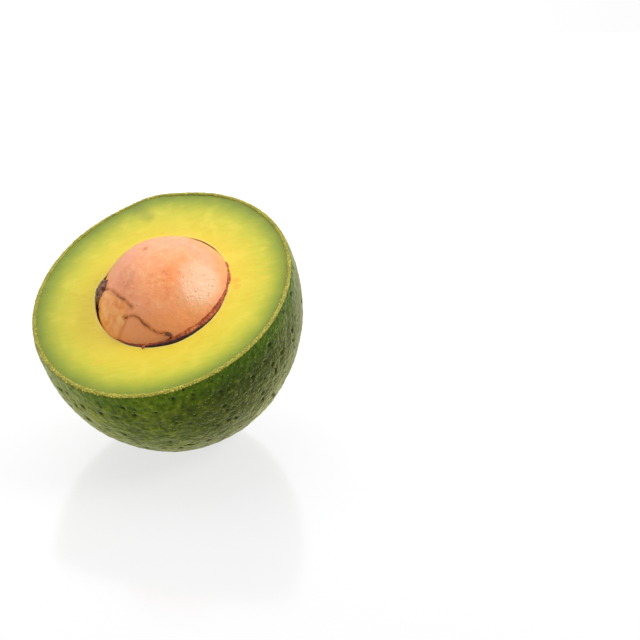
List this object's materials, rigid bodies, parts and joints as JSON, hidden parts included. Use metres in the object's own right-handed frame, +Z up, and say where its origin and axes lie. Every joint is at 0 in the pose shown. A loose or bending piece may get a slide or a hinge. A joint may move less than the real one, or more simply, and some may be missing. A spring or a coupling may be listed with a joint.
{
  "type": "avocado half with its seed",
  "caption": "Larger part of a round green-skinned avocado cut lengthwise, its seed still in the yellow flesh; it rests tilted on a small flat spot of its skin.",
  "frame": {"origin": "centre of the small flat spot of skin that the fruit rests on", "axes": "+Z up from the table; the cut face leans forward towards -Y and a little to -X; the stem end is at the back, towards +Y"},
  "size_m": [0.087, 0.0941, 0.0751],
  "materials": {
    "peel": "waxy, pebbled green skin with small dark pits",
    "flesh": "moist cut flesh, yellow, turning green next to the peel",
    "seed_coat": "dry, brown and papery",
    "seed": "smooth, salmon-brown, satin"
  },
  "bodies": {
    "root": {"peel": "peel", "flesh": "flesh", "seed_coat": "seed_coat", "seed": "seed"}
  },
  "joints": []
}
